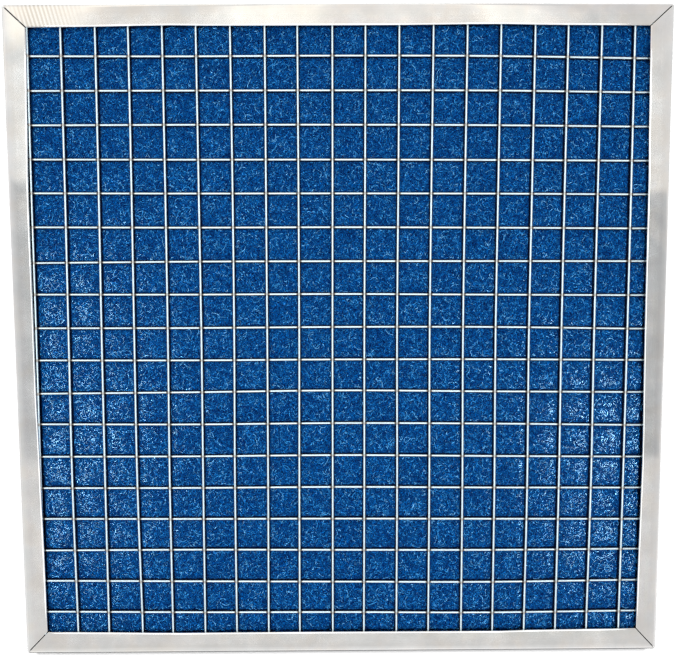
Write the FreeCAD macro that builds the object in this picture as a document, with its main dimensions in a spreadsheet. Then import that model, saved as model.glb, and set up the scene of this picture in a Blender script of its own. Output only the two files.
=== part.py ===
import FreeCAD, Part
import math
import os
import Sketcher

# Furnace air filter: four mitred aluminium channel rails, staked to a folded key in each
# corner, hold two welded wire grids with a pad of blue fibre pressed between them.
# It lies face up. The origin is at the middle of the rear face, x runs to the right,
# y towards the top rail and z through the depth, from the rear face to the front one.
# Every body is drawn about the middle of the depth, where the filter is symmetric.

os.makedirs("parts", exist_ok=True)
doc = FreeCAD.newDocument("furnace_air_filter")

# Driving dimensions, in millimetres
DIMENSIONS = [
    ("frame_width", 501.65, "outside of the frame, left to right"),
    ("frame_height", 501.65, "outside of the frame, bottom rail to top rail"),
    ("frame_depth", 22.2, "rear lip face to front lip face"),
    ("gauge", 0.8, "thickness of the rail sheet"),
    ("bend_radius", 1.5, "inside radius of the bend between web and lip"),
    ("lip_width", 16.5, "web outer face to the lip's hemmed edge"),
    ("hem_gap", 0.4, "space left inside the hem"),
    ("hem_return", 6.0, "straight length of the leg folded back under the lip"),
    ("mitre_gap", 0.6, "open joint between two mitred rails"),
    ("key_thickness", 1.2, "sheet of the corner key"),
    ("key_leg", 28.0, "frame corner to the end of a key's leg"),
    ("key_bend", 1.0, "inside radius of the key's bend"),
    ("key_play", 0.1, "key edge to the start of the channel's bend"),
    ("stake_place", 16.0, "frame corner to the middle of a stake"),
    ("stake_length", 6.0, "mouth of the stake's dimple, along the rail"),
    ("stake_width", 5.0, "mouth of the stake's dimple, across the rail"),
    ("stake_play", 0.15, "stake to the edge of the key's window"),
    ("wire_diameter", 1.6, "galvanised wire of the grids"),
    ("wire_pitch", 25.4, "middle to middle of neighbouring wires"),
    ("grid_margin", 5.55, "wire ends to the inner face of the web"),
    ("first_line_wire", 9.575, "grid's left edge to its first line wire"),
    ("first_cross_wire", 6.725, "grid's top edge to its first cross wire"),
    ("pad_margin", 0.5, "fibre pad's edge to the inner face of the key"),
    ("pad_play", 0.15, "fibre pad's face to the wires that press it"),
]
sheet = doc.addObject("Spreadsheet::Sheet", "Sizes")
for row, (alias, value, meaning) in enumerate(DIMENSIONS, start=1):
    sheet.set(f"A{row}", meaning)
    sheet.set(f"B{row}", str(value))
    sheet.setAlias(f"B{row}", alias)
doc.recompute()

# Sizes that follow from the driving ones, as expressions on the sheet
HALF_WIDTH = "Sizes.frame_width / 2"
HALF_HEIGHT = "Sizes.frame_height / 2"
HALF_DEPTH = "Sizes.frame_depth / 2"
BEND_OUTSIDE = "(Sizes.bend_radius + Sizes.gauge)"
HEM_OUTSIDE = "(Sizes.gauge + Sizes.hem_gap / 2)"
HEM_MIDDLE = f"(Sizes.lip_width - {HEM_OUTSIDE})"
GRID_INSET = "(Sizes.gauge + Sizes.grid_margin)"
GRID_WIDTH = f"(Sizes.frame_width - 2 * {GRID_INSET})"
GRID_HEIGHT = f"(Sizes.frame_height - 2 * {GRID_INSET})"
GRID_FACE = f"({HALF_DEPTH} - 2 * {HEM_OUTSIDE})"
PAD_INSET = "(Sizes.gauge + Sizes.key_thickness + Sizes.pad_margin)"
KEY_INNER_FACE = "(Sizes.gauge + Sizes.key_thickness)"
# A stake is pressed at 45 degrees, and the sheet keeps its gauge square to the slope
STAKE_SLOPE = -45
STAKE_ROOT = "2 * sqrt(2) * Sizes.gauge"
KEY_WINDOW = "2 * ((sqrt(2) - 1) * Sizes.gauge + Sizes.stake_play)"
WIRE_SIDES = 20  # a wire is drawn with this many flats, so that two grids stay light
OVERSHOOT = 1.0  # how far a cutting shape runs past the metal that it cuts


def size(expression):
    """The value of an expression on the sheet, for a sketch's first position."""
    return float(sheet.evalExpression(expression))


def origin_feature(body, role):
    """One of the body's own axes or planes."""
    return [feature for feature in body.Origin.OriginFeatures if feature.Role == role][0]


def new_sketch(body, name, plane):
    """A sketch on one of the body's own origin planes."""
    sketch = body.newObject("Sketcher::SketchObject", name)
    sketch.AttachmentSupport = [(origin_feature(body, plane), "")]
    sketch.MapMode = "FlatFace"
    return sketch


def dimension(sketch, kind, where, expression):
    """A driving dimension of the sketch, bound to the sheet."""
    index = sketch.addConstraint(Sketcher.Constraint(kind, *where, size(expression)))
    sketch.setExpression(f"Constraints[{index}]", expression)


def polygon(sketch, corners):
    """A closed outline whose corners stand at the given pairs of expressions."""
    points = [FreeCAD.Vector(size(x), size(y), 0) for x, y in corners]
    for start, end in zip(points, points[1:] + points[:1]):
        sketch.addGeometry(Part.LineSegment(start, end), False)
    last = len(points) - 1
    for edge in range(len(points)):
        following = 0 if edge == last else edge + 1
        sketch.addConstraint(Sketcher.Constraint("Coincident", edge, 2, following, 1))
    for edge, (x, y) in enumerate(corners):
        dimension(sketch, "DistanceX", (-1, 1, edge, 1), x)
        dimension(sketch, "DistanceY", (-1, 1, edge, 1), y)


def rectangle(sketch, x, y, width, height):
    """A rectangle about a middle, all in expressions."""
    polygon(sketch, [(f"{x} - ({width}) / 2", f"{y} - ({height}) / 2"),
                     (f"{x} + ({width}) / 2", f"{y} - ({height}) / 2"),
                     (f"{x} + ({width}) / 2", f"{y} + ({height}) / 2"),
                     (f"{x} - ({width}) / 2", f"{y} + ({height}) / 2")])


def pad(body, name, sketch, length):
    """The sketch's outline made solid to both sides of its plane."""
    feature = body.newObject("PartDesign::Pad", name)
    feature.Profile = sketch
    feature.SideType = "Symmetric"
    feature.setExpression("Length", length)
    return feature


def cut_through(body, name, sketch):
    """The sketch's outline cut right through, to both sides of its plane."""
    feature = body.newObject("PartDesign::Pocket", name)
    feature.Profile = sketch
    feature.Type = "ThroughAll"
    feature.SideType = "Symmetric"
    return feature


def mirror(body, name, originals, plane):
    """The features again on the other side of one of the body's planes."""
    feature = body.newObject("PartDesign::Mirrored", name)
    feature.Originals = originals
    feature.MirrorPlane = (origin_feature(body, plane), [""])
    body.Tip = feature
    return feature


def place(body, x, y, turn, axis=FreeCAD.Vector(0, 0, 1)):
    """Stands the body at its place, turned by so many degrees."""
    body.Placement = FreeCAD.Placement(FreeCAD.Vector(0, 0, 0), FreeCAD.Rotation(axis, turn))
    body.setExpression("Placement.Base.x", x)
    body.setExpression("Placement.Base.y", y)
    body.setExpression("Placement.Base.z", HALF_DEPTH)


# Rails

def rail_section(sketch):
    """Front half of the rolled channel: web, bend, lip, and hem folded back under the lip.

    The sketch's x runs inwards from the web's outer face and its y forwards from the
    middle of the depth.
    """
    half_depth = size(HALF_DEPTH)
    gauge = size("Sizes.gauge")
    bend = size(BEND_OUTSIDE)
    hem = size(HEM_OUTSIDE)
    hem_x = size(HEM_MIDDLE)
    tip_x = hem_x - size("Sizes.hem_return")
    hem_inside = hem - gauge
    leg_y = half_depth - 2 * hem
    quarter = math.pi / 2

    def line(x1, y1, x2, y2):
        return sketch.addGeometry(
            Part.LineSegment(FreeCAD.Vector(x1, y1, 0), FreeCAD.Vector(x2, y2, 0)), False)

    def arc(x, y, radius, first, last):
        ring = Part.Circle(FreeCAD.Vector(x, y, 0), FreeCAD.Vector(0, 0, 1), radius)
        return sketch.addGeometry(Part.ArcOfCircle(ring, first * quarter, last * quarter), False)

    web_outside = line(0, 0, 0, half_depth - bend)
    bend_outside = arc(bend, half_depth - bend, bend, 1, 2)
    lip_outside = line(bend, half_depth, hem_x, half_depth)
    hem_outside = arc(hem_x, half_depth - hem, hem, -1, 1)
    leg_outside = line(hem_x, leg_y, tip_x, leg_y)
    leg_end = line(tip_x, leg_y, tip_x, leg_y + gauge)
    leg_inside = line(tip_x, leg_y + gauge, hem_x, leg_y + gauge)
    hem_gap = arc(hem_x, half_depth - hem, hem_inside, -1, 1)
    lip_inside = line(hem_x, half_depth - gauge, bend, half_depth - gauge)
    bend_inside = arc(bend, half_depth - bend, bend - gauge, 1, 2)
    web_inside = line(gauge, half_depth - bend, gauge, 0)
    middle = line(gauge, 0, 0, 0)

    for edge in (web_outside, leg_end, web_inside):
        sketch.addConstraint(Sketcher.Constraint("Vertical", edge))
    for edge in (lip_outside, leg_outside, leg_inside, lip_inside, middle):
        sketch.addConstraint(Sketcher.Constraint("Horizontal", edge))
    for joint in ((web_outside, 2, bend_outside, 2), (bend_outside, 1, lip_outside, 1),
                  (lip_outside, 2, hem_outside, 2), (hem_outside, 1, leg_outside, 1),
                  (leg_inside, 2, hem_gap, 1), (hem_gap, 2, lip_inside, 1),
                  (lip_inside, 2, bend_inside, 1), (bend_inside, 2, web_inside, 1)):
        sketch.addConstraint(Sketcher.Constraint("Tangent", *joint))
    for joint in ((web_outside, 1, -1, 1), (leg_outside, 2, leg_end, 1),
                  (leg_end, 2, leg_inside, 1), (web_inside, 2, middle, 1),
                  (middle, 2, web_outside, 1), (hem_gap, 3, hem_outside, 3),
                  (bend_inside, 3, bend_outside, 3)):
        sketch.addConstraint(Sketcher.Constraint("Coincident", *joint))
    dimension(sketch, "Radius", (bend_outside,), BEND_OUTSIDE)
    dimension(sketch, "Radius", (hem_outside,), HEM_OUTSIDE)
    dimension(sketch, "Radius", (hem_gap,), "Sizes.hem_gap / 2")
    dimension(sketch, "DistanceY", (-1, 1, lip_outside, 1), HALF_DEPTH)
    dimension(sketch, "DistanceX", (-1, 1, hem_outside, 3), HEM_MIDDLE)
    dimension(sketch, "DistanceX", (-1, 1, leg_end, 1), f"{HEM_MIDDLE} - Sizes.hem_return")


def make_rail(name, length, x, y, turn):
    """A rail that runs along its own x, with its web at y = 0 and its channel open to +y."""
    body = doc.addObject("PartDesign::Body", name)
    half_length = f"{length} / 2"

    section = new_sketch(body, name + "_section", "YZ_Plane")
    rail_section(section)
    front_half = pad(body, name + "_front_half", section, length)
    mirror(body, name + "_channel", [front_half], "XY_Plane")

    # The stake stands out inside the channel and is hollow from outside
    along = f"{half_length} - Sizes.stake_place"
    root = new_sketch(body, name + "_stake_outline", "XZ_Plane")
    rectangle(root, along, "0", f"Sizes.stake_length + {STAKE_ROOT}", f"Sizes.stake_width + {STAKE_ROOT}")
    boss = body.newObject("PartDesign::Pad", name + "_stake")
    boss.Profile = root
    boss.Reversed = True
    boss.TaperAngle = STAKE_SLOPE
    boss.setExpression("Length", KEY_INNER_FACE)
    mouth = new_sketch(body, name + "_dimple_outline", "XZ_Plane")
    rectangle(mouth, along, "0", "Sizes.stake_length", "Sizes.stake_width")
    dimple = body.newObject("PartDesign::Pocket", name + "_dimple")
    dimple.Profile = mouth
    dimple.TaperAngle = STAKE_SLOPE
    dimple.setExpression("Length", "Sizes.key_thickness")

    # A right triangle with its long side on the mitre line
    line_at_web = f"{half_length} - Sizes.mitre_gap / sqrt(2)"
    reach = f"(Sizes.lip_width + {OVERSHOOT})"
    corner = new_sketch(body, name + "_mitre_outline", "XY_Plane")
    polygon(corner, [
        (f"{line_at_web} + {OVERSHOOT}", f"-{OVERSHOOT}"),
        (f"{line_at_web} + {OVERSHOOT}", reach),
        (f"{line_at_web} - {reach}", reach)])
    mitre = cut_through(body, name + "_mitre", corner)
    mirror(body, name + "_other_end", [boss, dimple, mitre], "YZ_Plane")
    place(body, x, y, turn)
    return body


# Corner keys

def make_key(name, x, y, turn):
    """An angle folded from strip, with legs along +x and +y from the frame's corner."""
    body = doc.addObject("PartDesign::Body", name)
    section = new_sketch(body, name + "_section", "XY_Plane")
    polygon(section, [
        ("Sizes.gauge", "Sizes.gauge"), ("Sizes.key_leg", "Sizes.gauge"),
        ("Sizes.key_leg", KEY_INNER_FACE), (KEY_INNER_FACE, KEY_INNER_FACE),
        (KEY_INNER_FACE, "Sizes.key_leg"), ("Sizes.gauge", "Sizes.key_leg")])
    pad(body, name + "_strip", section, f"Sizes.frame_depth - 2 * ({BEND_OUTSIDE} + Sizes.key_play)")
    doc.recompute()

    for place_name, corner, radius in (
            ("outside", "Sizes.gauge", "Sizes.key_bend + Sizes.key_thickness"),
            ("inside", KEY_INNER_FACE, "Sizes.key_bend")):
        base = body.Tip
        at = size(corner)
        edges = [f"Edge{index}" for index, edge in enumerate(base.Shape.Edges, start=1)
                 if all(abs(v.X - at) < 1e-6 and abs(v.Y - at) < 1e-6 for v in edge.Vertexes)]
        bend = body.newObject("PartDesign::Fillet", f"{name}_bend_{place_name}")
        bend.Base = (base, edges)
        bend.setExpression("Radius", radius)
        doc.recompute()

    for leg, plane in (("x", "XZ_Plane"), ("y", "YZ_Plane")):
        window = new_sketch(body, f"{name}_window_{leg}", plane)
        rectangle(window, "Sizes.stake_place", "0",
                  f"Sizes.stake_length + {KEY_WINDOW}", f"Sizes.stake_width + {KEY_WINDOW}")
        cut = body.newObject("PartDesign::Pocket", f"{name}_window_through_{leg}")
        cut.Profile = window
        cut.Type = "Length"
        cut.Reversed = leg == "y"
        cut.setExpression("Length", f"{KEY_INNER_FACE} + {OVERSHOOT}")
    place(body, x, y, turn)
    return body


# Wire grids

def wire_section(sketch, x, y):
    """A round wire's section, drawn with flats so that its outermost ones touch its neighbours."""
    corner_radius = f"Sizes.wire_diameter / (2 * cos(180 / {WIRE_SIDES}))"
    turns = [f"(360 * ({side} + 0.5) / {WIRE_SIDES})" for side in range(WIRE_SIDES)]
    polygon(sketch, [(f"{x} + {corner_radius} * cos({turn})", f"{y} + {corner_radius} * sin({turn})")
                     for turn in turns])


def make_wires(name, plane, across, length, axis, backwards, first, extent, rank, turn):
    """A row of parallel wires. Rank 0 lies against the hems and rank 1 behind it."""
    body = doc.addObject("PartDesign::Body", name)
    body.AllowCompound = True
    section = new_sketch(body, name + "_section", plane)
    wire_section(section, across, f"{GRID_FACE} - ({rank} + 0.5) * Sizes.wire_diameter")
    wire = pad(body, name + "_first", section, length)
    row = body.newObject("PartDesign::LinearPattern", name + "_row")
    row.Originals = [wire]
    row.Direction = (origin_feature(body, axis), [""])
    row.Reversed = backwards
    row.Mode = "Spacing"
    row.setExpression("Offset", "Sizes.wire_pitch")
    row.setExpression("Occurrences",
                      f"floor(({extent} - {first} - Sizes.wire_diameter / 2) / Sizes.wire_pitch) + 1")
    body.Tip = row
    place(body, "0", "0", turn, FreeCAD.Vector(0, 1, 0))
    return body


def make_grid(side, turn):
    """Line wires run up the filter on the outside, and cross wires are welded behind them."""
    line_wires = make_wires(
        f"{side}_line_wires", "XZ_Plane", f"Sizes.first_line_wire - {GRID_WIDTH} / 2", GRID_HEIGHT,
        "X_Axis", False, "Sizes.first_line_wire", GRID_WIDTH, 0, turn)
    cross_wires = make_wires(
        f"{side}_cross_wires", "YZ_Plane", f"{GRID_HEIGHT} / 2 - Sizes.first_cross_wire", GRID_WIDTH,
        "Y_Axis", True, "Sizes.first_cross_wire", GRID_HEIGHT, 1, turn)
    return [line_wires, cross_wires]


# Fibre pad

def make_media():
    """The pad fills the channels up to the keys and is pressed thin between the two grids."""
    body = doc.addObject("PartDesign::Body", "media_pad")
    outline = new_sketch(body, "media_outline", "XY_Plane")
    right = f"{HALF_WIDTH} - {PAD_INSET}"
    top = f"{HALF_HEIGHT} - {PAD_INSET}"
    polygon(outline, [(f"-({right})", f"-({top})"), (right, f"-({top})"),
                      (right, top), (f"-({right})", top)])
    pad(body, "media_slab", outline, f"2 * ({GRID_FACE} - 2 * Sizes.wire_diameter - Sizes.pad_play)")
    place(body, "0", "0", 0)
    return body


pieces = [
    make_rail("bottom_rail", "Sizes.frame_width", "0", f"-{HALF_HEIGHT}", 0),
    make_rail("right_rail", "Sizes.frame_height", HALF_WIDTH, "0", 90),
    make_rail("top_rail", "Sizes.frame_width", "0", HALF_HEIGHT, 180),
    make_rail("left_rail", "Sizes.frame_height", f"-{HALF_WIDTH}", "0", 270),
    make_key("bottom_left_corner_key", f"-{HALF_WIDTH}", f"-{HALF_HEIGHT}", 0),
    make_key("bottom_right_corner_key", HALF_WIDTH, f"-{HALF_HEIGHT}", 90),
    make_key("top_right_corner_key", HALF_WIDTH, HALF_HEIGHT, 180),
    make_key("top_left_corner_key", f"-{HALF_WIDTH}", HALF_HEIGHT, 270),
]
pieces += make_grid("front", 0)
pieces += make_grid("rear", 180)
pieces.append(make_media())
doc.recompute()

# Nothing is written unless every object is sound
for item in doc.Objects:
    faults = {"Invalid", "Error"} & set(item.State)
    if faults:
        raise RuntimeError(f"{item.Label}: {sorted(faults)}")
for piece in pieces:
    if piece.Shape.isNull() or not piece.Shape.isValid():
        raise RuntimeError(f"{piece.Label}: no valid shape")
for piece in pieces:
    piece.Shape.exportStep(f"parts/{piece.Label}.step")
    print(piece.Label, len(piece.Shape.Solids), "solids", round(piece.Shape.Volume, 1), "mm3")
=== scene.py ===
import math
import random

import bmesh
import bpy
from mathutils import Matrix, Vector


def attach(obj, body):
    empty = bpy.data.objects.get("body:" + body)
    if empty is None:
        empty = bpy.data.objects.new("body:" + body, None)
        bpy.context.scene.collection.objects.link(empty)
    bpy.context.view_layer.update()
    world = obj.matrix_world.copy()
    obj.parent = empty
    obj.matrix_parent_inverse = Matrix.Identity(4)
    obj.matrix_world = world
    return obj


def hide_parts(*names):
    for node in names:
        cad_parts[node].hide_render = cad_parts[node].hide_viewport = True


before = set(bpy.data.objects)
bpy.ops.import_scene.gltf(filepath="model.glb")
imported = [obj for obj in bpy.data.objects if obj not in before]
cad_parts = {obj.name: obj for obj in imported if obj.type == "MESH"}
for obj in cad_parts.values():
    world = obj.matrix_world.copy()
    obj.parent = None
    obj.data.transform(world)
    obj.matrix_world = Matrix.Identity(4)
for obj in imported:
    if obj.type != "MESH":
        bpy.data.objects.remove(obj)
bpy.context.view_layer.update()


# Welded wire grids, front and rear: galvanised steel wire 1.6 mm thick, one inch apart.
# The line wires run up the filter and lie outermost, the cross wires run from side to side behind
# them, and each crossing is resistance welded. The ends of every wire lie under the rails' lips.
MM = 0.001
WIRE_RADIUS = 0.8
WIRE_SIDES = 10
WIRE_END = 244.475
WIRE_PITCH = 25.4
FIRST_LINE_WIRE = -234.9
FIRST_CROSS_WIRE = 237.75
LINE_WIRE_HEIGHT = 19.4
CROSS_WIRE_HEIGHT = 17.8
FILTER_DEPTH = 22.2
# at a weld the wires sink into each other, and welding tints each so far along and so strongly
WELD_SINK = 0.12
WELD_FADE = 0.9
# the near-black on the cross wires beside each line wire is painted shade under it as well as weld scorch
LINE_BURN_REACH, LINE_BURN = 0.7, 0.3
CROSS_BURN_AND_SHADE_REACH, CROSS_BURN_AND_SHADE = 1.5, 1.0
WELD_BEAD = Vector((1.15, 1.15, 0.55))
SWAY_STATIONS = (-230, -115, 0, 115, 230)
# how far each wire strays from its straight line at those stations, in mm
LINE_WIRE_SWAY = (
    (-0.9, -0.4, 0.4, 0.9, 2.0), (-0.4, -1.1, -0.1, 1.0, 1.6), (-1.2, -0.8, 0.0, 1.2, 2.0),
    (0.2, -1.0, -0.3, 0.7, 1.3), (-1.1, -1.0, 0.2, 0.9, 1.2), (-0.8, -0.2, 0.7, 0.9, 1.0),
    (-1.0, -0.7, 0.6, 1.2, 1.2), (-1.1, -0.1, 0.7, 1.2, 1.7), (-1.7, -1.0, 0.0, 0.5, 0.7),
    (-0.8, -0.2, 0.3, 1.0, 1.5), (-1.4, -0.8, -0.5, 0.3, 0.9), (-0.9, -0.4, -0.6, 0.2, 0.9),
    (-0.9, -0.5, -0.8, 0.0, 1.1), (-0.1, 0.1, -0.4, 0.2, 1.2), (-0.5, -0.1, -0.6, 0.1, 1.0),
    (-0.7, 0.3, -0.2, 0.5, 1.2), (-1.1, -0.2, -0.4, 0.0, 0.6), (-1.6, -0.3, -0.5, -0.1, 0.4),
    (-1.2, -0.5, -0.2, -0.1, -0.2),
)
CROSS_WIRE_SWAY = (
    (1.5, 1.0, 1.1, 0.4, -1.8), (1.5, 1.0, 1.1, 0.4, -1.8), (1.4, 1.2, 1.0, 0.4, -1.5),
    (1.4, 1.3, 0.9, 0.1, -1.5), (1.3, 0.7, 0.3, -0.5, -1.6), (1.4, 0.7, 0.3, -0.4, -1.5),
    (1.1, 0.3, 0.1, -0.8, -1.9), (-0.7, -0.2, -0.4, -0.9, -1.5), (0.5, -0.1, -0.2, -1.3, -2.3),
    (-0.1, -0.5, -0.3, -0.9, -2.9), (0.3, -0.3, -0.2, -0.7, -1.9), (-0.4, 0.1, 0.9, -0.5, -1.7),
    (0.9, 0.1, 0.5, -0.6, -2.4), (0.5, 0.1, 0.4, -1.0, -2.2), (0.8, 0.2, 0.3, -0.9, -1.7),
    (1.4, 0.6, 0.1, -0.8, -1.6), (1.2, 1.0, 0.1, -0.7, -0.5), (1.8, 0.6, -0.5, -1.5, -0.6),
    (1.8, 0.5, -0.2, -1.3, -0.6),
)


def smooth_line(knots, at):
    """The value at a place on the smooth line through a list of (place, value) knots."""
    if at <= knots[0][0]:
        return knots[0][1]
    if at >= knots[-1][0]:
        return knots[-1][1]
    i = max(k for k in range(len(knots) - 1) if knots[k][0] <= at)
    start, end = knots[i], knots[i + 1]
    before, after = knots[max(i - 1, 0)], knots[min(i + 2, len(knots) - 1)]
    span = end[0] - start[0]
    t = (at - start[0]) / span
    leave = (end[1] - before[1]) / (end[0] - before[0]) * span
    arrive = (after[1] - start[1]) / (after[0] - start[0]) * span
    return (
        (2 * t**3 - 3 * t**2 + 1) * start[1]
        + (t**3 - 2 * t**2 + t) * leave
        + (3 * t**2 - 2 * t**3) * end[1]
        + (t**3 - t**2) * arrive
    )


def line_wire_place(number, along):
    """Where across the filter a line wire is, so far up it."""
    sway = smooth_line(list(zip(SWAY_STATIONS, LINE_WIRE_SWAY[number])), along)
    return FIRST_LINE_WIRE + WIRE_PITCH * number + sway


def cross_wire_place(number, along):
    """Where up the filter a cross wire is, so far along it."""
    sway = smooth_line(list(zip(SWAY_STATIONS, CROSS_WIRE_SWAY[number])), along)
    return FIRST_CROSS_WIRE - WIRE_PITCH * number + sway


def lay_wire(bm, heat_and_shade, crossings, burn_and_shade_reach, burn_and_shade, place):
    """One round wire with rings of points at its welds; place(along, aside, up, weld) puts each point."""
    rings = [(-WIRE_END, 0.0)]
    for crossing in sorted(crossings):
        rings += [
            (crossing - burn_and_shade_reach - WELD_FADE, 0.0), (crossing - burn_and_shade_reach, 1.0),
            (crossing + burn_and_shade_reach, 1.0), (crossing + burn_and_shade_reach + WELD_FADE, 0.0),
        ]
    rings = [ring for ring in rings if abs(ring[0]) <= WIRE_END] + [(WIRE_END, 0.0)]
    before = len(bm.verts)
    rod = bmesh.ops.create_cone(
        bm, cap_ends=True, segments=WIRE_SIDES, radius1=WIRE_RADIUS, radius2=WIRE_RADIUS, depth=1.0
    )
    edges = {e for v in rod["verts"] for e in v.link_edges}
    long_edges = [e for e in edges if abs(e.verts[0].co.z - e.verts[1].co.z) > 0.5]
    bmesh.ops.subdivide_edges(bm, edges=long_edges, cuts=len(rings) - 2)
    bm.verts.ensure_lookup_table()
    for vert in bm.verts[before:]:
        along, weld = rings[round((vert.co.z + 0.5) * (len(rings) - 1))]
        vert[heat_and_shade] = weld * burn_and_shade
        vert.co = Vector(place(along, vert.co.x, vert.co.y, weld)) * MM


def finished_piece(name, bm, material, smooth_angle=50):
    """Turns a bmesh into a piece of the object with smooth faces and sharp corners."""
    bmesh.ops.recalc_face_normals(bm, faces=bm.faces)
    mesh = bpy.data.meshes.new(name)
    bm.to_mesh(mesh)
    bm.free()
    for face in mesh.polygons:
        face.use_smooth = True
    mesh.set_sharp_from_angle(angle=math.radians(smooth_angle))
    mesh.materials.append(material)
    piece = bpy.data.objects.new(name, mesh)
    bpy.context.scene.collection.objects.link(piece)
    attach(piece, "root")
    return piece


def shader_node(tree, kind, inputs=None, **settings):
    """Adds a node; its inputs, by name or number, take a value or another node's socket."""
    made = tree.nodes.new("ShaderNode" + kind)
    for name, value in settings.items():
        setattr(made, name, value)
    for socket, value in (inputs or {}).items():
        if isinstance(value, bpy.types.NodeSocket):
            tree.links.new(value, made.inputs[socket])
        else:
            made.inputs[socket].default_value = value
    return made


def colour_steps(tree, value, steps, interpolation="LINEAR"):
    """A colour ramp with (place, colour) steps, driven by a value."""
    ramp = shader_node(tree, "ValToRGB", {0: value})
    ramp.color_ramp.interpolation = interpolation
    while len(ramp.color_ramp.elements) < len(steps):
        ramp.color_ramp.elements.new(1.0)
    for element, (place, colour) in zip(ramp.color_ramp.elements, steps):
        element.position = place
        element.color = (*colour, 1.0) if isinstance(colour, tuple) else (colour, colour, colour, 1.0)
    return ramp.outputs["Color"]


def mixed(tree, share, first, second, blend="MIX"):
    """Mixes two colours by a share."""
    mix = shader_node(tree, "Mix", data_type="RGBA", blend_type=blend)
    for socket, value in ((0, share), (6, first), (7, second)):
        if isinstance(value, bpy.types.NodeSocket):
            tree.links.new(value, mix.inputs[socket])
        else:
            mix.inputs[socket].default_value = (*value, 1.0) if isinstance(value, tuple) else value
    return mix.outputs[2]


def new_finish(name):
    """A new material: its node tree, its shader and the object coordinates that its patterns read."""
    material = bpy.data.materials.new(name)
    material.use_nodes = True
    tree = material.node_tree
    return material, tree, tree.nodes["Principled BSDF"], shader_node(tree, "TexCoord").outputs["Object"]


galvanised, tree, shader, spot = new_finish("galvanised_steel_wire")
spangle = shader_node(tree, "TexVoronoi", {"Vector": spot, "Scale": 620.0}).outputs["Color"]
dulling = shader_node(tree, "TexNoise", {"Vector": spot, "Scale": 55.0, "Detail": 4.0}).outputs["Fac"]
weld_heat_and_shade = shader_node(tree, "Attribute", attribute_name="weld_heat_and_shade").outputs["Fac"]
zinc = colour_steps(tree, spangle, [(0.0, (0.72, 0.86, 0.94)), (1.0, (0.80, 0.95, 1.0))])
zinc = mixed(tree, colour_steps(tree, dulling, [(0.5, 0.0), (0.8, 0.3)]), zinc, (0.66, 0.70, 0.71))
straw = mixed(tree, dulling, (0.42, 0.36, 0.30), (0.62, 0.56, 0.50))
heat_tint_and_shade = mixed(tree, colour_steps(tree, weld_heat_and_shade, [(0.0, 0.0), (0.3, 0.8)]), zinc, straw)
# painted shade: the cross wires and the weld beads go near-black beside each line wire, for its shade as well
# as weld scorch
burnt_and_shaded = mixed(tree, dulling, (0.05, 0.045, 0.04), (0.16, 0.14, 0.12))
heat_tint_and_shade = mixed(tree, colour_steps(tree, weld_heat_and_shade, [(0.35, 0.0), (0.8, 0.9)]), heat_tint_and_shade, burnt_and_shaded)
tree.links.new(heat_tint_and_shade, shader.inputs["Base Color"])
shader.inputs["Metallic"].default_value = 0.9
tree.links.new(colour_steps(tree, dulling, [(0.3, 0.28), (0.75, 0.46)]), shader.inputs["Roughness"])
zinc_skin = shader_node(tree, "TexNoise", {"Vector": spot, "Scale": 2200.0, "Detail": 3.0}).outputs["Fac"]
skin_bump = shader_node(tree, "Bump", {"Height": zinc_skin, "Strength": 0.35, "Distance": 0.00006})
tree.links.new(skin_bump.outputs[0], shader.inputs["Normal"])

# the rear grid is the same sheet turned over about the filter's upright middle line
turned_over = Matrix.Translation((0, 0, FILTER_DEPTH * MM)) @ Matrix.Rotation(math.pi, 4, "Y")
for side in ("front", "rear"):
    for layer, count in (("line", len(LINE_WIRE_SWAY)), ("cross", len(CROSS_WIRE_SWAY))):
        bm = bmesh.new()
        heat_and_shade = bm.verts.layers.float.new("weld_heat_and_shade")
        for wire in range(count):
            if layer == "line":
                nominal = FIRST_LINE_WIRE + WIRE_PITCH * wire
                crossings = [cross_wire_place(k, nominal) for k in range(len(CROSS_WIRE_SWAY))]
                lay_wire(
                    bm, heat_and_shade, crossings, LINE_BURN_REACH, LINE_BURN,
                    lambda along, aside, up, weld: (
                        line_wire_place(wire, along) + aside, along,
                        LINE_WIRE_HEIGHT + up - WELD_SINK * weld,
                    ),
                )
            else:
                nominal = FIRST_CROSS_WIRE - WIRE_PITCH * wire
                crossings = [line_wire_place(k, nominal) for k in range(len(LINE_WIRE_SWAY))]
                lay_wire(
                    bm, heat_and_shade, crossings, CROSS_BURN_AND_SHADE_REACH, CROSS_BURN_AND_SHADE,
                    lambda along, aside, up, weld: (
                        along, cross_wire_place(wire, along) + aside,
                        CROSS_WIRE_HEIGHT + up + WELD_SINK * weld,
                    ),
                )
                # a low lens of squeezed-out weld metal fills the corners of each crossing, near-black as
                # painted shade and scorch
                for x in crossings:
                    middle = Vector((x, cross_wire_place(wire, x), LINE_WIRE_HEIGHT - WIRE_RADIUS))
                    bead = bmesh.ops.create_icosphere(
                        bm, subdivisions=1, radius=1.0,
                        matrix=Matrix.LocRotScale(middle * MM, None, WELD_BEAD * MM),
                    )
                    for vert in bead["verts"]:
                        vert[heat_and_shade] = 1.0
        if side == "rear":
            bm.transform(turned_over)
        wires = finished_piece(f"{side}_{layer}_wires_round", bm, galvanised)
        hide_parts(f"{side}_{layer}_wires")


# Media pad: one mat of crimped blue polyester fibre, bonded where the fibres cross, that fills the frame.
# The wires press a line into it and it crowns a little between them; it thins towards the lips.
# A dark body carries the depth of the mat, and loose crimped fibres lie in layers over both of its faces.
PAD_EDGE = 247.6
PAD_FACE = 15.6
PAD_CROWN = 2.1
PAD_TUCK = 6.5
TUCK_START, TUCK_END = 234.4, 239.4
# how quickly the pad crowns beside a wire, and how wide a line the wire presses
CROWN_REACH = 2.4
PRESS_REACH = 1.15
BODY_DEPTH_BELOW_FIBRES = 0.7
# where the body has rows of points, measured from each wire
BODY_ROWS = (-7.0, -1.9, -1.1, 1.1, 1.9, 7.0)
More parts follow.
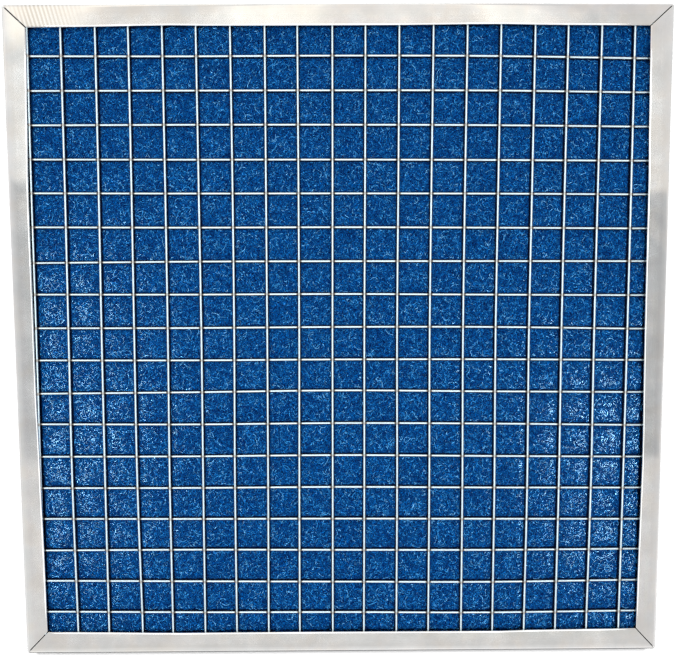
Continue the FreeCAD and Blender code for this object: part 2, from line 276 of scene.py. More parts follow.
# painted shade: the body darkens where a wire or lip presses it by more than the first share, and so many
# times as fast
DARK_FROM, DARK_GAIN = 0.12, 2.5


def nearest_wires(x, y):
    """The numbers of the front grid's line wire and cross wire that are nearest to a place in mm."""
    line = min(max(round((x - FIRST_LINE_WIRE) / WIRE_PITCH), 0), len(LINE_WIRE_SWAY) - 1)
    cross = min(max(round((FIRST_CROSS_WIRE - y) / WIRE_PITCH), 0), len(CROSS_WIRE_SWAY) - 1)
    return line, cross


def pad_face(x, y):
    """Height in mm of the pad's front face, and how far a wire or a lip presses it, from 0 to 1."""
    line, cross = nearest_wires(x, y)
    from_line, from_cross = abs(x - line_wire_place(line, y)), abs(y - cross_wire_place(cross, x))
    crown = PAD_CROWN * (1 - math.exp(-from_line / CROWN_REACH)) * (1 - math.exp(-from_cross / CROWN_REACH))
    tuck = min(max((max(abs(x), abs(y)) - TUCK_START) / (TUCK_END - TUCK_START), 0.0), 1.0)
    under_line, under_cross = (math.exp(-((gap / PRESS_REACH) ** 2)) for gap in (from_line, from_cross))
    return PAD_FACE + crown * (1.0 - tuck) - PAD_TUCK * tuck**2, max(under_line, under_cross, tuck)


blue_body, tree, shader, spot = new_finish("blue_fibre_depth")
bent = shader_node(tree, "TexNoise", {"Vector": spot, "Scale": 400.0, "Detail": 1.0}).outputs["Color"]
bent = shader_node(tree, "VectorMath", {0: bent, 3: 0.0016}, operation="SCALE").outputs[0]
bent = shader_node(tree, "VectorMath", {0: spot, 1: bent}, operation="ADD").outputs[0]
strokes = 0.0
for turn in (0.3, 1.35, 2.4):
    lying = shader_node(tree, "Mapping", {"Vector": bent, "Rotation": (0.0, 0.0, turn)}).outputs[0]
    lying = shader_node(tree, "Mapping", {"Vector": lying, "Scale": (650.0, 2600.0, 900.0)}).outputs[0]
    stroke = shader_node(tree, "TexNoise", {"Vector": lying, "Scale": 1.0, "Detail": 0.0}).outputs["Fac"]
    strokes = shader_node(tree, "Math", {0: strokes, 1: stroke}, operation="MAXIMUM").outputs[0]
depth_colour = colour_steps(tree, strokes, [
    (0.50, (0.0002, 0.010, 0.070)), (0.60, (0.0005, 0.036, 0.19)), (0.72, (0.003, 0.13, 0.42)),
])
# painted shade: near-black where the wires and the lips press into the body
pressed_painted_shade = shader_node(tree, "Attribute", attribute_name="pressed_painted_shade").outputs["Fac"]
depth_colour = mixed(tree, pressed_painted_shade, depth_colour, (0.0002, 0.004, 0.022))
tree.links.new(depth_colour, shader.inputs["Base Color"])
shader.inputs["Roughness"].default_value = 0.8
shader.inputs["Specular IOR Level"].default_value = 0.08
stroke_bump = shader_node(tree, "Bump", {"Height": strokes, "Strength": 0.6, "Distance": 0.0012})
tree.links.new(stroke_bump.outputs[0], shader.inputs["Normal"])

blue_fibre, tree, shader, spot = new_finish("crimped_blue_fibre")
strand = shader_node(tree, "NewGeometry").outputs["Random Per Island"]
drift = shader_node(tree, "TexNoise", {"Vector": spot, "Scale": 60.0, "Detail": 2.0}).outputs["Fac"]
dye = colour_steps(tree, strand, [
    (0.0, (0.0001, 0.008, 0.065)), (0.25, (0.0002, 0.022, 0.134)), (0.6, (0.0006, 0.090, 0.345)),
    (0.9, (0.028, 0.215, 0.50)), (1.0, (0.12, 0.36, 0.64)),
])
dye = mixed(tree, 1.0, dye, colour_steps(tree, drift, [(0.3, 0.95), (0.7, 1.04)]), "MULTIPLY")
# painted sheen and shade: the dye brightens and darkens in short bits along each fibre, as crimped fibre
# glints; the same noise roughens the fibres
crimp_sheen_and_shade = shader_node(tree, "TexNoise", {"Vector": spot, "Scale": 1700.0, "Detail": 0.0}).outputs["Fac"]
dye = mixed(tree, 1.0, dye, colour_steps(tree, crimp_sheen_and_shade, [(0.38, 0.22), (0.62, 1.8)]), "MULTIPLY")
tree.links.new(dye, shader.inputs["Base Color"])
shader.inputs["Roughness"].default_value = 0.12
shader.inputs["Specular IOR Level"].default_value = 0.5
shader.inputs["Specular Tint"].default_value = (0.4, 0.75, 1.0, 1.0)
crimp_bump = shader_node(tree, "Bump", {"Height": crimp_sheen_and_shade, "Strength": 0.25, "Distance": 0.0001})
tree.links.new(crimp_bump.outputs[0], shader.inputs["Normal"])

bm = bmesh.new()
painted_shade_layer = bm.verts.layers.float.new("pressed_painted_shade")
bmesh.ops.create_grid(bm, x_segments=1, y_segments=1, size=PAD_EDGE * MM)
# the body's points follow every wire, close beside it and farther out
beside_wires = [wire * WIRE_PITCH + row for wire in range(len(LINE_WIRE_SWAY)) for row in BODY_ROWS]
for first, sense, run in (
    (FIRST_LINE_WIRE, 1, Vector((1, 0, 0))), (FIRST_CROSS_WIRE, -1, Vector((0, 1, 0))),
):
    rows = [-TUCK_END, -TUCK_START, TUCK_START, TUCK_END] + [first + sense * place for place in beside_wires]
    for row in rows:
        bmesh.ops.bisect_plane(
            bm, geom=bm.verts[:] + bm.edges[:] + bm.faces[:],
            dist=0.000001, plane_co=run * row * MM, plane_no=run,
        )
bmesh.ops.solidify(bm, geom=bm.verts[:] + bm.edges[:] + bm.faces[:], thickness=FILTER_DEPTH * MM)
top = max(v.co.z for v in bm.verts)
for vert in bm.verts:
    x, y, on_front = vert.co.x / MM, vert.co.y / MM, vert.co.z > top - MM
    mirror = 1 if on_front else -1
    if max(abs(x), abs(y)) < TUCK_START - 1:
        line, cross = nearest_wires(mirror * x, y)
        x += mirror * (line_wire_place(line, y) - FIRST_LINE_WIRE - WIRE_PITCH * line)
        y += cross_wire_place(cross, mirror * x) - FIRST_CROSS_WIRE + WIRE_PITCH * cross
    face, press = pad_face(mirror * x, y)
    # painted shade, darkening the body along the wires and under the lips
    vert[painted_shade_layer] = min(press * DARK_GAIN, 1.0) if press > DARK_FROM else 0.0
    if on_front:
        vert.co = Vector((x, y, face - BODY_DEPTH_BELOW_FIBRES)) * MM
    else:
        vert.co = Vector((x, y, FILTER_DEPTH - face + BODY_DEPTH_BELOW_FIBRES)) * MM
pad = finished_piece("media_pad_body", bm, blue_body)
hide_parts("media_pad")


def fibre_section(name, points):
    """The shape of a fibre across its length, as an open line of (x, y) points in mm."""
    line = bpy.data.curves.new(name, "CURVE")
    line.dimensions = "2D"
    spline = line.splines.new("POLY")
    spline.points.add(len(points) - 1)
    for point, (x, y) in zip(spline.points, points):
        point.co = (x * MM, y * MM, 0, 1)
    shape = bpy.data.objects.new(name, line)
    bpy.context.scene.collection.objects.link(shape)
    return shape


flat_section = fibre_section("flat_fibre", ((-0.19, 0.0), (0.19, 0.0)))
ridge_section = fibre_section("ridged_fibre", ((-0.17, -0.04), (0.0, 0.03), (0.17, -0.04)))
thin_section = fibre_section("thin_fibre", ((-0.13, 0.0), (0.13, 0.0)))
# fibres start within this distance of the middle, and run in short steps; all in mm
FIBRE_FIELD = 236.0
FIBRE_STEP = (0.7, 1.3)
# a plain fibre turns to and fro by so many radians, and back by a share of that
FIBRE_CRIMP = (0.3, 0.9)
CRIMP_BACK = 0.6
CRIMP_WANDER, CURL_WANDER = 0.25, 0.1
# how its width varies, and how far a wire presses it down
FIBRE_SWELL = (0.7, 1.25)
FIBRE_END_SWELL = 0.6
FIBRE_PRESS = 2.2
FIBRE_LIFT, FIBRE_TILT = 0.028, 0.06
chance = random.Random(20)


def fibre_layer(name, section, rows, bends, deep, shallow, on_front=True, curl=None):
    """A layer of crimped or curled fibres, strewn over one face of the pad between two depths in mm."""
    curve = bpy.data.curves.new(name, "CURVE")
    curve.dimensions = "3D"
    curve.twist_mode = "Z_UP"
    curve.bevel_mode = "OBJECT"
    curve.bevel_object = section
    spacing = 2 * FIBRE_FIELD / rows
    for number in range(rows * rows):
        x = -FIBRE_FIELD + spacing * (number % rows + chance.random())
        y = -FIBRE_FIELD + spacing * (number // rows + chance.random())
        heading = chance.uniform(0, 2 * math.pi)
        crimp = chance.choice((-1, 1)) * chance.uniform(*(curl or FIBRE_CRIMP))
        depth = chance.uniform(deep, shallow)
        thickness = chance.uniform(*FIBRE_SWELL)
        points = []
        for bend in range(bends):
            step = chance.uniform(*FIBRE_STEP)
            x += step * math.cos(heading)
            y += step * math.sin(heading)
            wander = chance.gauss(0, CURL_WANDER if curl else CRIMP_WANDER)
            heading += (crimp if curl or bend % 2 else -CRIMP_BACK * crimp) + wander
            face, press = pad_face(x, y)
            lift = face - depth - FIBRE_PRESS * press + chance.gauss(0, FIBRE_LIFT)
            swell = thickness * (FIBRE_END_SWELL if bend in (0, bends - 1) else 1.0)
            points.append((x, y, lift, swell, chance.gauss(0, FIBRE_TILT)))
        fibre = curve.splines.new("POLY")
        fibre.points.add(len(points) - 1)
        for point, (px, py, pz, swell, twist) in zip(fibre.points, points):
            point.co = (px * MM, py * MM, pz * MM, 1)
            point.radius = swell
            point.tilt = twist
    strewn = bpy.data.objects.new(name + "_lines", curve)
    bpy.context.scene.collection.objects.link(strewn)
    mesh = bpy.data.meshes.new_from_object(strewn.evaluated_get(bpy.context.evaluated_depsgraph_get()))
    bpy.data.objects.remove(strewn)
    if not on_front:
        mesh.transform(turned_over)
    mesh.materials.clear()
    mesh.materials.append(blue_fibre)
    layer = bpy.data.objects.new(name, mesh)
    bpy.context.scene.collection.objects.link(layer)
    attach(layer, "root")
    return layer


fibre_pieces = [
    fibre_layer("front_fibres_deep", flat_section, rows=220, bends=3, deep=0.6, shallow=0.3),
    fibre_layer("front_fibres_middle", flat_section, rows=220, bends=3, deep=0.4, shallow=0.0),
    fibre_layer("front_fibres_top", ridge_section, rows=120, bends=4, deep=0.1, shallow=-0.3),
    fibre_layer(
        "front_fibres_curled", thin_section, rows=92, bends=8, deep=-0.1, shallow=-0.35, curl=(0.12, 0.4)
    ),
    fibre_layer("rear_fibres_deep", flat_section, rows=78, bends=3, deep=0.6, shallow=0.2, on_front=False),
    fibre_layer("rear_fibres_top", flat_section, rows=60, bends=4, deep=0.1, shallow=-0.3, on_front=False),
]
for section in (flat_section, ridge_section, thin_section):
    bpy.data.objects.remove(section)


# Corner keys: folded angles of plain aluminium strip inside the channels, two legs each.
# The rails are staked to them through the webs. They are CAD nodes with a dull mill finish.
dull_strip, tree, shader, spot = new_finish("dull_aluminium_strip")
streak = shader_node(tree, "Mapping", {"Vector": spot, "Scale": (60.0, 60.0, 2500.0)}).outputs[0]
grain = shader_node(tree, "TexNoise", {"Vector": streak, "Scale": 1.0, "Detail": 4.0}).outputs["Fac"]
dull_metal = colour_steps(tree, grain, [(0.3, (0.62, 0.61, 0.60)), (0.7, (0.78, 0.77, 0.76))])
tree.links.new(dull_metal, shader.inputs["Base Color"])
shader.inputs["Metallic"].default_value = 1.0
tree.links.new(colour_steps(tree, grain, [(0.3, 0.38), (0.7, 0.5)]), shader.inputs["Roughness"])
grain_bump = shader_node(tree, "Bump", {"Height": grain, "Strength": 0.3, "Distance": 0.00005})
tree.links.new(grain_bump.outputs[0], shader.inputs["Normal"])
for name, cad_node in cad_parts.items():
    if name.endswith("corner_key"):
        for material_slot in cad_node.material_slots:
            material_slot.material = dull_strip


# Rails: four channels roll formed from 0.8 mm mill finish aluminium sheet, mitred at both ends.
# The free edges of the lips are folded back under as hems. In the photo the rails bow outwards
# by about a millimetre, and the sheared edges at the mitres are rolled over a little.
RAIL_OUTSIDE = 250.825
HEM_EDGE = 234.325
MITRE_GAP = 0.6
MITRE_ROLL = 0.4
MITRE_RINGS = (0.05, 0.13, 0.25, 0.4)
BOW_STEP, BOW_RINGS = 25.0, range(-9, 10)
# the outer band of each lip falls away from the flat, between two places and by so much
ROLL_START, ROLL_END, ROLL_DROP = 243.0, 249.4, 0.3
ROLL_RINGS = (ROLL_START, 244.5, 246.0, 247.3)
# the roll sets in so far from mid depth and is full after that; only the lips move in height
LIP_START, LIP_FADE = 8.8, 2.3
REAR_LIP, FRONT_LIP = 3.2, 19.0
# how far the outer edge of each rail, and the edge of its hem, stand out from the straight, in mm
OUTER_BOW = {
    "left": ((-250, -0.1), (250, -0.1)),
    "right": ((-250, -0.1), (100, -0.1), (162, -0.3), (250, -0.2)),
    "top": ((-250, -0.1), (105, -0.2), (195, -0.7), (250, -0.9)),
    "bottom": ((-250, -0.2), (-200, -0.1), (200, -0.1), (250, -0.2)),
}
HEM_BOW = {
    "left": (
        (-250, -0.8), (-221, -0.7), (-162, -0.4), (-124, 0.1), (-85, 0.4), (-48, 1.1), (35, 1.1),
        (118, 1.1), (150, 0.2), (180, -0.4), (210, -1.3), (250, -1.6),
    ),
    "right": (
        (-250, 0.0), (-222, 0.1), (-183, 0.3), (-144, 0.8), (-86, 1.5), (-67, 1.1), (-29, 0.7),
        (8, 0.4), (82, 0.1), (118, 0.1), (154, -0.6), (189, -1.0), (224, -1.4), (250, -1.6),
    ),
    "top": (
        (-250, -0.7), (-220, -0.5), (-185, -0.3), (-131, 0.5), (-95, 0.1), (48, 0.1), (119, 0.6),
        (155, -0.1), (209, -0.6), (250, -0.9),
    ),
    "bottom": (
        (-250, -1.6), (-217, -1.3), (-159, -0.6), (-140, -0.1), (-100, -0.2), (0, -0.2), (127, 0.1),
        (146, -0.5), (223, -1.2), (250, -1.4),
    ),
}


def between(knots, at):
    """The value on straight runs between (place, value) knots."""
    if at <= knots[0][0]:
        return knots[0][1]
    for (x0, y0), (x1, y1) in zip(knots, knots[1:]):
        if at <= x1:
            return y0 + (y1 - y0) * (at - x0) / (x1 - x0)
    return knots[-1][1]


def bowed(x, y):
    """Where a point of the straight frame, in mm, is on the bowed one. All rails share it."""
    shifts = []
    for low, high, across, along in (("left", "right", x, y), ("bottom", "top", y, x)):
        outer_low, outer_high = -smooth_line(OUTER_BOW[low], along), smooth_line(OUTER_BOW[high], along)
        hem_low, hem_high = -smooth_line(HEM_BOW[low], along), smooth_line(HEM_BOW[high], along)
        shifts.append(between((
            (-RAIL_OUTSIDE, outer_low), (-HEM_EDGE, hem_low),
            (HEM_EDGE, hem_high), (RAIL_OUTSIDE, outer_high),
        ), across))
    return x + shifts[0], y + shifts[1]


def mill_finish(name, along, across):
    """Bright rolled aluminium: along and across are the sheet's directions as (x, y)."""
    material, tree, shader, spot = new_finish(name)

    def streaks(length, width, detail):
        """Noise drawn out along the sheet, by the length and width of a streak in metres."""
        sizes = [along[axis] * length + across[axis] * width for axis in (0, 1)] + [width]
        scale = tuple(1 / size for size in sizes)
        stretched = shader_node(tree, "Mapping", {"Vector": spot, "Scale": scale}).outputs[0]
        noise = shader_node(tree, "TexNoise", {"Vector": stretched, "Scale": 1.0, "Detail": detail})
        return noise.outputs["Fac"]

    broad, fine = streaks(0.35, 0.0035, 2.0), streaks(0.06, 0.0006, 4.0)
    clouds = shader_node(
        tree, "TexNoise", {"Vector": spot, "Scale": 38.0, "Detail": 5.0, "Roughness": 0.6}
    ).outputs["Fac"]
    metal = colour_steps(tree, broad, [
        (0.3, (0.88, 0.885, 0.87)), (0.5, (0.905, 0.90, 0.89)), (0.7, (0.895, 0.885, 0.885)),
    ])
    metal = mixed(tree, 1.0, metal, colour_steps(tree, clouds, [(0.3, 0.91), (0.7, 1.045)]), "MULTIPLY")
    metal = mixed(tree, 1.0, metal, colour_steps(tree, fine, [(0.3, 0.985), (0.7, 1.01)]), "MULTIPLY")
    patches = shader_node(tree, "TexNoise", {"Vector": spot, "Scale": 70.0, "Detail": 2.0}).outputs["Fac"]
    tint = colour_steps(tree, patches, [
        (0.35, (1.015, 0.995, 0.97)), (0.5, (1.0, 1.0, 1.0)), (0.65, (0.975, 0.99, 1.0)),
    ])
    metal = mixed(tree, 1.0, metal, tint, "MULTIPLY")
    if along[0]:
        # painted reflection: faint cream bands slant across the left end of the top rail
        slanted = shader_node(tree, "Mapping", {"Vector": spot, "Rotation": (0.0, 0.0, -0.28)}).outputs[0]
        painted_reflection_bands = shader_node(
            tree, "TexWave",
            {"Vector": slanted, "Scale": 108.0, "Distortion": 0.8, "Detail": 1.0, "Detail Scale": 0.4},
            bands_direction="X",
        ).outputs["Fac"]
        place = shader_node(tree, "SeparateXYZ", {0: spot}).outputs
        there = colour_steps(tree, shader_node(
            tree, "MapRange", {"Value": place["X"], "From Min": -0.25, "From Max": -0.15}
        ).outputs[0], [(0.08, 0.3), (0.2, 1.0), (0.4, 0.7), (0.62, 0.0)])
        there = shader_node(tree, "Math", {0: there, 1: place["Y"]}, operation="MULTIPLY").outputs[0]
        on_lip = shader_node(
            tree, "MapRange", {"Value": place["Z"], "From Min": 0.019, "From Max": 0.0215}
        ).outputs[0]
        there = shader_node(tree, "Math", {0: there, 1: on_lip}, operation="MULTIPLY").outputs[0]
        painted_reflection_bands = colour_steps(tree, painted_reflection_bands, [(0.3, 1.0), (0.7, 0.0)])
        share = shader_node(tree, "Math", {0: there, 1: painted_reflection_bands}, operation="MULTIPLY").outputs[0]
        # the top rail lies a quarter of a metre up, so four times its Y is about one
        share = shader_node(tree, "Math", {0: share, 1: 4.0}, operation="MULTIPLY", use_clamp=True).outputs[0]
        metal = mixed(tree, share, metal, (0.67, 0.64, 0.60))
    tree.links.new(metal, shader.inputs["Base Color"])
    shader.inputs["Metallic"].default_value = 1.0
    shader.inputs["Anisotropic"].default_value = 0.9
    tangent = shader_node(tree, "CombineXYZ", {"X": across[0], "Y": across[1], "Z": 0.0}).outputs[0]
    tree.links.new(tangent, shader.inputs["Tangent"])
    tree.links.new(colour_steps(tree, clouds, [(0.35, 0.05), (0.7, 0.085)]), shader.inputs["Roughness"])
    waves = shader_node(tree, "TexNoise", {"Vector": spot, "Scale": 24.0, "Detail": 1.0}).outputs["Fac"]
    wave_bump = shader_node(tree, "Bump", {"Height": waves, "Strength": 1.0, "Distance": 0.00007})
    fine_bump = shader_node(
        tree, "Bump", {"Height": fine, "Strength": 0.12, "Distance": 0.00002, "Normal": wave_bump.outputs[0]}
    )
    tree.links.new(fine_bump.outputs[0], shader.inputs["Normal"])
    return material


upright_sheet = mill_finish("mill_aluminium_upright", (0, 1), (1, 0))
level_sheet = mill_finish("mill_aluminium_level", (1, 0), (0, 1))

for name, upright in (
    ("bottom_rail", False), ("right_rail", True), ("top_rail", False), ("left_rail", True),
):
    bm = bmesh.new()
    bm.from_mesh(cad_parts[name].data)
    bmesh.ops.remove_doubles(bm, verts=bm.verts, dist=0.000001)
    run = Vector((0, 1, 0)) if upright else Vector((1, 0, 0))
    cuts = [(run * place * BOW_STEP * MM, run) for place in BOW_RINGS]
    for sense in (-1, 1):
        # rings close to each mitre, for its rolled edge
        for setback in MITRE_RINGS:
            normal = Vector((1, sense, 0)).normalized()
            for flip in (-1, 1):
                cuts.append((normal * flip * (MITRE_GAP / 2 + setback) * MM, normal))
    across = Vector((run.y, run.x, 0))
    for place in ROLL_RINGS:
        cuts += [(across * place * MM, across), (across * -place * MM, across)]
    for place, normal in cuts:
        bmesh.ops.bisect_plane(
            bm, geom=bm.verts[:] + bm.edges[:] + bm.faces[:], dist=0.0000005, plane_co=place, plane_no=normal
        )
    for vert in bm.verts:
        x, y, z = vert.co / MM
        setback = abs(abs(x) - abs(y)) / math.sqrt(2) - MITRE_GAP / 2
        roll = MITRE_ROLL - math.sqrt(MITRE_ROLL**2 - max(0.0, MITRE_ROLL - max(setback, 0.0)) ** 2)
        reach = min(max(max(abs(x), abs(y)) - ROLL_START, 0.0) / (ROLL_END - ROLL_START), 1.0)
        roll += ROLL_DROP * reach**2 * min(max(abs(z - FILTER_DEPTH / 2) - LIP_START, 0.0) / LIP_FADE, 1.0)
        if z > FRONT_LIP:
            z -= roll
        elif z < REAR_LIP:
            z += roll
        x, y = bowed(x, y)
        vert.co = Vector((x, y, z)) * MM
    rail = finished_piece(
        name + "_bowed", bm, upright_sheet if upright else level_sheet, smooth_angle=35
    )
    weighted = rail.modifiers.new("even_flats", "WEIGHTED_NORMAL")
    weighted.keep_sharp = True
    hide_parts(name)


# Studio floor: a plain matt white sheet that the filter lies on.
# Two lamps and the bright room light it, and a glow of its own adds to what the camera and the
# metal see of it, but lights nothing.
ROOM_HALF = 8.0
FLOOR_HEIGHT = -0.0003
bpy.context.scene.view_settings.view_transform = "Standard"


def seen_rays(tree, paths):
    """1 for rays that show a thing, straight or by mirror or glass, and 0 for rays that only light."""
    seen = paths["Is Camera Ray"]
    for kind in ("Is Glossy Ray", "Is Transmission Ray"):
        seen = shader_node(tree, "Math", {0: seen, 1: paths[kind]}, operation="MAXIMUM").outputs[0]
    return seen


def flat_sheet(name, material, half, placing):
    """A square sheet of half that width, moved and turned by a matrix."""
    bm = bmesh.new()
    bmesh.ops.create_grid(bm, x_segments=1, y_segments=1, size=half, matrix=placing)
    mesh = bpy.data.meshes.new(name)
    bm.to_mesh(mesh)
    bm.free()
    mesh.materials.append(material)
    made = bpy.data.objects.new(name, mesh)
    bpy.context.scene.collection.objects.link(made)
    return made


white_floor, tree, shader, spot = new_finish("white_floor")
paths = shader_node(tree, "LightPath").outputs
seen = seen_rays(tree, paths)
# the metal mirrors the floor as plain white, and no brighter
plain = mixed(tree, paths["Is Glossy Ray"], (0.42, 0.42, 0.42), (0.32, 0.32, 0.32))
tree.links.new(plain, shader.inputs["Base Color"])
shader.inputs["Roughness"].default_value = 0.9
shader.inputs["Specular IOR Level"].default_value = 0.0
shader.inputs["Emission Color"].default_value = (1, 1, 1, 1)
# the lamps reach about a metre, and beyond that the floor's own glow keeps it white
reach = shader_node(tree, "VectorMath", {0: spot}, operation="LENGTH").outputs["Value"]
reach = shader_node(tree, "MapRange", {"Value": reach, "From Min": 0.0, "From Max": ROOM_HALF}).outputs[0]
far_glow = colour_steps(tree, reach, [(0.1, 0.03), (0.19, 0.25), (0.375, 0.5), (0.8, 0.63)])
glow = shader_node(tree, "Math", {0: seen, 1: far_glow}, operation="MULTIPLY").outputs[0]
tree.links.new(glow, shader.inputs["Emission Strength"])
floor = flat_sheet("floor", white_floor, ROOM_HALF, Matrix.Translation((0, 0, FLOOR_HEIGHT)))


# Ceiling panel: a broad pale ceiling two metres up, in four bays, that the metal mirrors.
# The edges and tones of the bays follow what the rails show of them in the photo.
PANEL_HEIGHT = 2.0
MIDDLE_EDGE = (0.353, 0.357)
FAR_EDGE = (0.571, 0.575)
END_EDGE = (0.68, 0.697)
FAR_EDGE_TILT = 0.00425
panel_light, tree, _, spot = new_finish("ceiling_panel")
parts = shader_node(tree, "SeparateXYZ", {0: spot}).outputs
# the bays widen sideways, so that their edges look straight in the rolled outer sides of the lips too
from_middle = shader_node(tree, "Math", {0: parts["X"]}, operation="ABSOLUTE").outputs[0]
widening = shader_node(
    tree, "MapRange", {"Value": from_middle, "From Min": 1.03, "From Max": 1.52, "To Min": 1.0, "To Max": 1.1}
).outputs[0]
upward = shader_node(tree, "Math", {0: parts["Y"], 1: widening}, operation="DIVIDE").outputs[0]
upward = shader_node(tree, "MapRange", {"Value": upward, "From Min": -2.0, "From Max": 2.0}).outputs[0]
sideward = shader_node(tree, "MapRange", {"Value": parts["X"], "From Min": -1.2, "From Max": 1.2}).outputs[0]
near_bay = colour_steps(tree, sideward, [
    (0.0, (0.715, 0.70, 0.685)), (0.7, (0.70, 0.69, 0.675)), (1.0, (0.69, 0.68, 0.67)),
])
middle_bay = colour_steps(tree, sideward, [(0.0, (0.545, 0.545, 0.545)), (1.0, (0.47, 0.472, 0.475))])
far_bay = colour_steps(tree, sideward, [(0.0, (0.84, 0.83, 0.81)), (1.0, (0.755, 0.74, 0.72))])
end_bay = colour_steps(tree, sideward, [
    (0.16, (1.19, 1.14, 1.05)), (0.19, (0.80, 0.77, 0.73)), (0.33, (0.84, 0.82, 0.79)),
    (0.37, (1.16, 1.12, 1.04)), (0.47, (1.18, 1.12, 1.02)), (0.50, (0.92, 0.88, 0.84)),
    (0.68, (0.94, 0.90, 0.86)), (0.71, (1.16, 1.12, 1.05)), (0.755, (1.14, 1.10, 1.04)),
    (0.78, (0.94, 0.90, 0.87)), (0.83, (0.73, 0.71, 0.70)),
])
tilted = shader_node(
    tree, "Math", {0: parts["X"], 1: FAR_EDGE_TILT, 2: upward}, operation="MULTIPLY_ADD"
).outputs[0]
bays = near_bay
for bay, place, (start, end) in (
    (middle_bay, upward, MIDDLE_EDGE), (far_bay, tilted, FAR_EDGE), (end_bay, upward, END_EDGE),
):
    bays = mixed(tree, colour_steps(tree, place, [(start, 0.0), (end, 1.0)]), bays, bay)
# beyond the bays, where the rolled outer sides of the lips look, the ceiling is paler
aside = shader_node(tree, "MapRange", {"Value": parts["X"], "From Min": -2.0, "From Max": 2.0}).outputs[0]
paler = colour_steps(tree, aside, [(0.112, 0.65), (0.237, 0.0), (0.80, 0.0), (0.888, 0.35)])
bays = mixed(tree, paler, bays, (0.88, 0.88, 0.88))
bays = mixed(tree, colour_steps(tree, upward, [(0.06, 1.0), (0.14, 0.0)]), bays, (0.95, 0.94, 0.93))
lit = shader_node(tree, "Emission", {"Color": bays, "Strength": 1.0})
tree.links.new(lit.outputs[0], tree.nodes["Material Output"].inputs["Surface"])
panel = flat_sheet("ceiling_panel", panel_light, ROOM_HALF, Matrix.Translation((0, 0, PANEL_HEIGHT)))
panel.visible_camera = False
panel.visible_diffuse = panel.visible_shadow = False


# Walls and cards: low pale walls far round the filter, for the rolled outer edges to mirror,
# and a low grey card and screen close to its near edge, painted shade for the floor's shade there. They show
# only in the shiny pieces.
def card(name, place, turn, width, length, brightness):
    """A plain glowing card that shows only in what mirrors it."""
    finish, tree, _, _ = new_finish(name)
    glow = shader_node(tree, "Emission", {"Color": (*brightness, 1.0), "Strength": 1.0})
    tree.links.new(glow.outputs[0], tree.nodes["Material Output"].inputs["Surface"])
    made = flat_sheet(name, finish, 0.5, Matrix.LocRotScale(
        Vector(place), Matrix.Rotation(turn[1], 3, turn[0]), Vector((width, length, 1.0))
    ))
    made.visible_camera = made.visible_diffuse = made.visible_shadow = made.visible_transmission = False


LYING, STANDING = 0.0, math.pi / 2
SHADE_GREY = (0.22, 0.22, 0.225)
card("left_wall", (-2.5, 0, 0.3), ("Y", STANDING), width=0.6, length=6.0, brightness=(0.70, 0.70, 0.70))
card("right_wall", (2.5, 0, 0.3), ("Y", STANDING), width=0.6, length=6.0, brightness=(0.70, 0.70, 0.70))
card("far_wall", (0, 2.5, 0.3), ("X", STANDING), width=5.0, length=0.6, brightness=(0.95, 0.94, 0.92))
card("near_wall", (0, -2.5, 0.3), ("X", STANDING), width=5.0, length=0.6, brightness=(0.75, 0.74, 0.73))
# painted shade: the grey card and screen stand where the floor lies in shade by the near edge, for the bottom
# rail's rolled edge to mirror
card("near_card", (0, -0.2605, 0.0012), ("X", LYING), width=0.518, length=0.013, brightness=SHADE_GREY)
card("near_screen", (0, -0.267, 0.013), ("X", STANDING), width=0.518, length=0.026, brightness=SHADE_GREY)


# Bright room: an even white surround.
# It lights the filter a little less strongly than it shows.
world = bpy.data.worlds.new("bright_room")
world.use_nodes = True
bpy.context.scene.world = world
tree = world.node_tree
tree.nodes["Background"].inputs["Color"].default_value = (1, 1, 1, 1)
seen = seen_rays(tree, shader_node(tree, "LightPath").outputs)
brightness = shader_node(tree, "MapRange", {"Value": seen, "To Min": 0.9, "To Max": 1.0}).outputs[0]
tree.links.new(brightness, tree.nodes["Background"].inputs["Strength"])


# Lamps: soft rectangular ones overhead, each for the floor, the metal or the fibres alone.
# The pale ceiling, too, shows only in the metal.
def light_only(light, name, things):
    """Lets a lamp or a glowing panel light only these things."""
    group = bpy.data.collections.new(name)
    for thing in things:
        group.objects.link(thing)
    light.light_linking.receiver_collection = group


def lamp(name, place, aim, width, length, watts, things, colour=(1.0, 1.0, 1.0)):
    """A soft rectangular lamp that lights only these things."""
    data = bpy.data.lights.new(name, "AREA")
    data.shape = "RECTANGLE"
    data.size = width
    data.size_y = length
    data.energy = watts
    data.color = colour
    made = bpy.data.objects.new(name, data)
    bpy.context.scene.collection.objects.link(made)
    made.location = place
    made.rotation_euler = (Vector(aim) - Vector(place)).to_track_quat("-Z", "Y").to_euler()
    made.visible_camera = False
    light_only(made, name + "_lights", things)
    return made


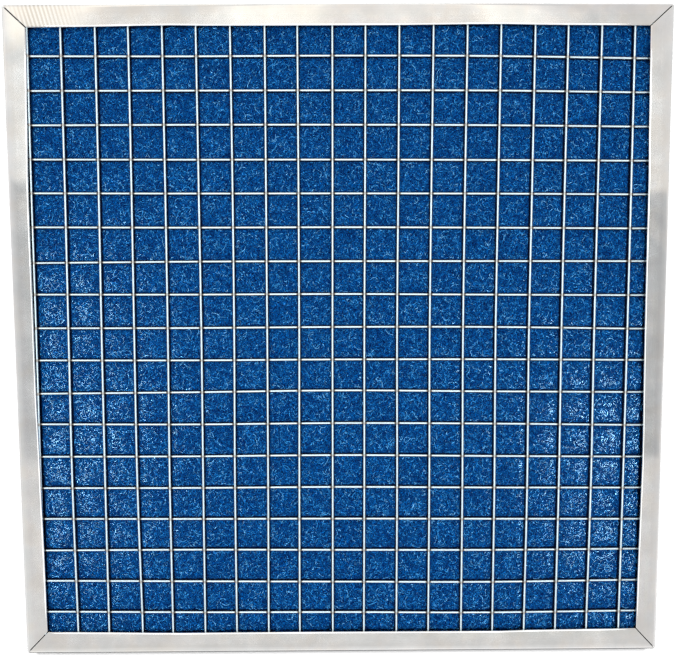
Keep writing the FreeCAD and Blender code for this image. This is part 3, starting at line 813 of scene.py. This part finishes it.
metal_pieces = [
    o for o in bpy.data.objects if o.type == "MESH" and o.name.endswith(("_round", "_bowed", "_key"))
]
light_only(panel, "mirrors_the_ceiling", metal_pieces)
# a broad lamp overhead leaves a narrow soft shadow all round, and one farther off a thin one at
# the near edge
lamp("floor_wash", (0, 0.168, 2.4), (0, 0.168, 0), width=1.99, length=2.08, watts=34, things=[floor])
lamp("floor_key", (0, 2.6, 5.0), (0, 2.6, 0), width=0.66, length=0.66, watts=610, things=[floor])
# two broad soft boxes overhead whiten the wires and the hems, the near one less
for name, y, length, watts in (("far_soft_box", 0.355, 0.61, 8.4), ("near_soft_box", -0.50, 1.10, 8.6)):
    lamp(
        name, (0, y, 1.95), (0, y, 0), width=1.74, length=length, watts=watts,
        things=metal_pieces, colour=(0.94, 0.985, 1.0),
    )
# a weak lamp over the middle lifts the pad, and small lamps above both sides spark in the glossy
# fibres there
pad_fill = lamp(
    "pad_fill", (0, 0.12, 0.8), (0, 0.12, 0), width=0.7, length=0.7, watts=1.6, things=fibre_pieces + [pad]
)
pad_fill.visible_glossy = False
for number, (x, y, watts) in enumerate((
    (0.42, -0.20, 1.3), (0.415, -0.36, 0.9), (-0.42, -0.02, 0.8), (-0.41, -0.20, 1.0), (-0.42, -0.36, 0.7),
), start=1):
    lamp(
        f"spark_{number}", (x, y, 0.6), (x / 2, y / 2, 0),
        width=0.07, length=0.1, watts=watts, things=fibre_pieces,
    )


# Camera: above the filter and a little towards its far side, looking down at it.
# Its lens, place and turn were fitted to the wire crossings in the photo.
camera_data = bpy.data.cameras.new("camera")
camera_data.sensor_width = 36
camera_data.lens = 42.64
camera_data.clip_start = 0.01
camera = bpy.data.objects.new("camera", camera_data)
bpy.context.scene.collection.objects.link(camera)
right = Vector((0.99997411, -0.00504134, 0.00513354))
back = Vector((-0.0046706, 0.08789953, 0.9961184)).normalized()
above = back.cross(right).normalized()
right = above.cross(back)
turned = Matrix((right, above, back)).transposed().to_4x4()
camera.matrix_world = Matrix.Translation((-0.00346, 0.060417, 0.6382)) @ turned
bpy.context.scene.camera = camera
